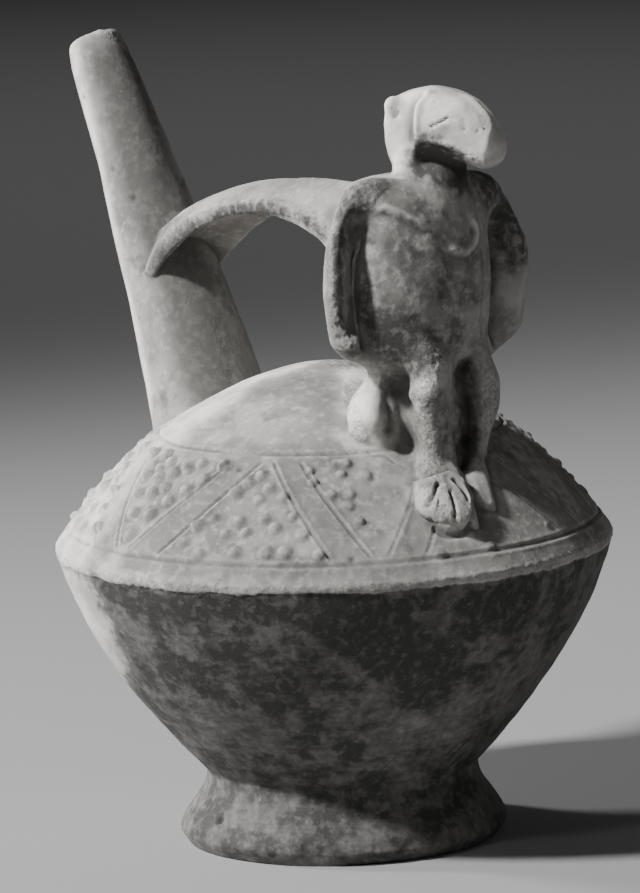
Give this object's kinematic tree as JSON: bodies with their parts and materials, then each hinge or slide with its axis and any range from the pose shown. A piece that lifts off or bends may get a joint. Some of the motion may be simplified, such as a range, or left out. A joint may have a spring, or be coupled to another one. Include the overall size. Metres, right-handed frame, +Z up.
{
  "type": "whistling vessel",
  "caption": "Fired clay whistling vessel: hollow double-coned jar on a ring foot, with a leaning tapered spout, a flat strap bridge and a standing bird.",
  "frame": {"origin": "the middle of the box's underside: on the ground plane of the ring foot, 13 mm from the jar's own upright axis towards the spout", "axes": "+Z up; +X from the spout to the bird, along the strap; the jar's upright axis is at X = +0.013 m, Y = 0"},
  "size_m": [0.1668, 0.1408, 0.2011],
  "materials": {
    "fired_clay": "matt low-fired clay, dusty and worn, with a dark fire-clouded lower bowl"
  },
  "bodies": {
    "root": {"vessel": "fired_clay"}
  },
  "joints": []
}
